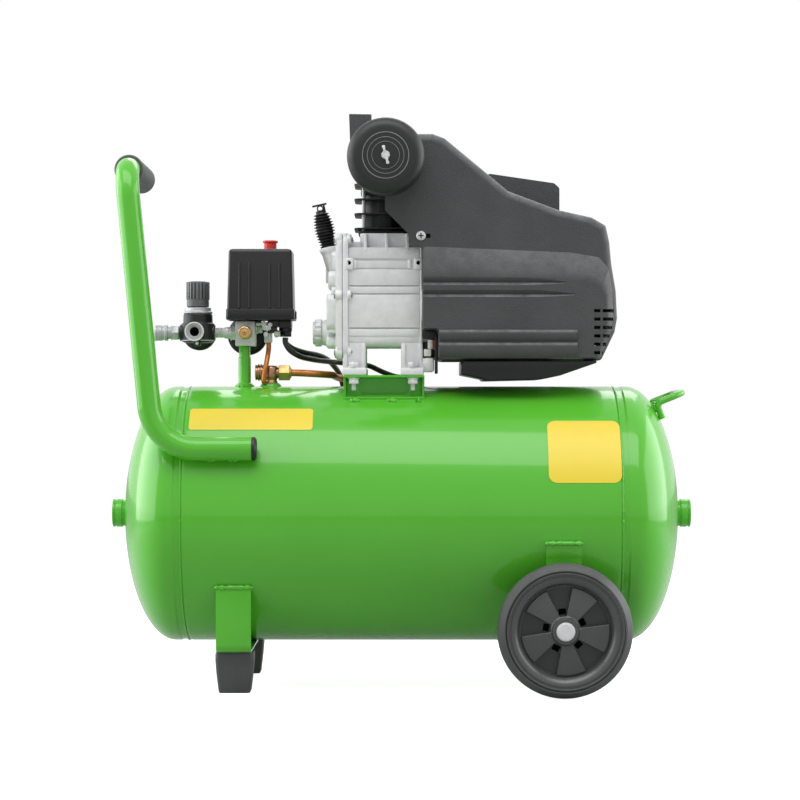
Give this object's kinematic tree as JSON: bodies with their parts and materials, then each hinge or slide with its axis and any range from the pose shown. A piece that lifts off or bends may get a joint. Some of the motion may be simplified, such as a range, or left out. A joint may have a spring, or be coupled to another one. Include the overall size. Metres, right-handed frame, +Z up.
{
  "type": "air compressor",
  "caption": "Wheeled direct-drive piston air compressor on a horizontal tank, with handle, intake filter, pressure switch, regulator, gauges and quick couplers.",
  "frame": {"origin": "on the floor below the middle of the tank, at the bottom centre of the bounding box", "axes": "+X along the tank from the handle to the wheels, +Y towards the side that the gauges face, +Z up"},
  "size_m": [0.72, 0.38, 0.7192],
  "materials": {
    "green_paint": "gloss",
    "cast_aluminium": "cast",
    "dark_aluminium": "cast",
    "shroud_plastic": "fine texture",
    "black_plastic": "satin",
    "rubber": "matt",
    "brass": "satin",
    "copper": "bright",
    "nickel": "satin",
    "steel": "satin",
    "red_plastic": "gloss",
    "filter_paper": "pleated",
    "sight_glass": "clear"
  },
  "bodies": {
    "frame": {"tank_shell": "green_paint", "tank_head_left": "green_paint", "tank_head_right": "green_paint", "front_strap": "green_paint", "wheel_strap": "green_paint", "carry_loop": "green_paint", "pump_platform": "green_paint", "handle_tube": "green_paint", "crankcase": "cast_aluminium", "crankcase_cover": "cast_aluminium", "motor_end_bell": "cast_aluminium", "cylinder": "dark_aluminium", "cylinder_head": "dark_aluminium", "motor_shroud": "shroud_plastic", "shroud_pan": "shroud_plastic", "capacitor_box": "shroud_plastic", "filter_base": "shroud_plastic", "filter_cover": "shroud_plastic", "handle_end_cap": "black_plastic", "tank_gauge": "black_plastic", "outlet_gauge": "black_plastic", "regulator_body": "black_plastic", "switch_cover": "black_plastic", "switch_base": "black_plastic", "motor_lead": "black_plastic", "pan_lead": "black_plastic", "boot_near": "rubber", "boot_far": "rubber", "handle_grip": "rubber", "drain_valve": "brass", "safety_valve": "brass", "check_valve": "brass", "delivery_pipe": "copper", "unloader_pipe": "copper", "manifold": "nickel", "coupler_left": "nickel", "coupler_near": "nickel", "axle_bolt_near": "steel", "axle_bolt_far": "steel", "motor_stator": "steel", "filter_element": "filter_paper", "oil_sight_glass": "sight_glass"},
    "wheel_near": {"wheel_rim_near": "black_plastic", "wheel_tyre_near": "rubber"},
    "wheel_far": {"wheel_rim_far": "black_plastic", "wheel_tyre_far": "rubber"},
    "switch_knob": {"switch_knob": "red_plastic"},
    "regulator_knob": {"regulator_knob": "black_plastic"},
    "coupler_left_sleeve": {"coupler_left_sleeve": "nickel"},
    "coupler_near_sleeve": {"coupler_near_sleeve": "nickel"},
    "tank_gauge_needle": {"tank_gauge_needle": "red_plastic"},
    "outlet_gauge_needle": {"outlet_gauge_needle": "red_plastic"},
    "drain_screw": {"drain_screw": "brass"},
    "filter_wing_nut": {"filter_wing_nut": "nickel"},
    "crank": {"crankshaft": "steel", "motor_rotor": "steel", "cooling_fan": "black_plastic"},
    "piston": {"piston": "cast_aluminium", "connecting_rod": "cast_aluminium"},
    "oil_breather": {"oil_breather": "black_plastic"}
  },
  "joints": [
    {"name": "wheel_near_spin", "type": "hinge", "parent": "frame", "child": "wheel_near", "pos_m": [0.1926, -0.1725, 0.08], "axis": [0, 1, 0], "continuous": true},
    {"name": "wheel_far_spin", "type": "hinge", "parent": "frame", "child": "wheel_far", "pos_m": [0.1926, 0.1725, 0.08], "axis": [0, 1, 0], "continuous": true},
    {"name": "switch_press", "type": "slide", "parent": "frame", "child": "switch_knob", "axis": [0, 0, 1], "range_m": [-0.006, 0]},
    {"name": "regulator_turn", "type": "hinge", "parent": "frame", "child": "regulator_knob", "pos_m": [-0.2544, 0, 0.48], "axis": [0, 0, 1], "range_deg": [-540, 540]},
    {"name": "coupler_left_release", "type": "slide", "parent": "frame", "child": "coupler_left_sleeve", "axis": [1, 0, 0], "range_m": [0, 0.004], "stiffness_N_per_m": 500, "springref_m": -0.004},
    {"name": "coupler_near_release", "type": "slide", "parent": "frame", "child": "coupler_near_sleeve", "axis": [0, 1, 0], "range_m": [0, 0.004], "stiffness_N_per_m": 500, "springref_m": -0.004},
    {"name": "tank_gauge_sweep", "type": "hinge", "parent": "frame", "child": "tank_gauge_needle", "pos_m": [-0.1955, 0.05, 0.434], "axis": [0, -1, 0], "range_deg": [0, 270], "stiffness_Nm_per_rad": 0.0005, "springref_deg": -17.19},
    {"name": "outlet_gauge_sweep", "type": "hinge", "parent": "frame", "child": "outlet_gauge_needle", "pos_m": [-0.2564, 0.05, 0.436], "axis": [0, -1, 0], "range_deg": [0, 270], "stiffness_Nm_per_rad": 0.0005, "springref_deg": -17.19},
    {"name": "drain_turn", "type": "hinge", "parent": "frame", "child": "drain_screw", "pos_m": [0.238, 0, 0.04], "axis": [0, 0, 1], "range_deg": [0, 720]},
    {"name": "wing_nut_turn", "type": "hinge", "parent": "frame", "child": "filter_wing_nut", "pos_m": [-0.0191, -0.138, 0.6446], "axis": [0, 1, 0], "range_deg": [0, 720]},
    {"name": "crank_turn", "type": "hinge", "parent": "frame", "child": "crank", "pos_m": [0, 0, 0.468], "axis": [1, 0, 0], "continuous": true},
    {"name": "piston_stroke", "type": "slide", "parent": "frame", "child": "piston", "axis": [0, 0, 1], "range_m": [0, 0.038]},
    {"name": "breather_pull", "type": "slide", "parent": "frame", "child": "oil_breather", "axis": [-0.2113, 0, 0.9774], "range_m": [0, 0.08]}
  ]
}
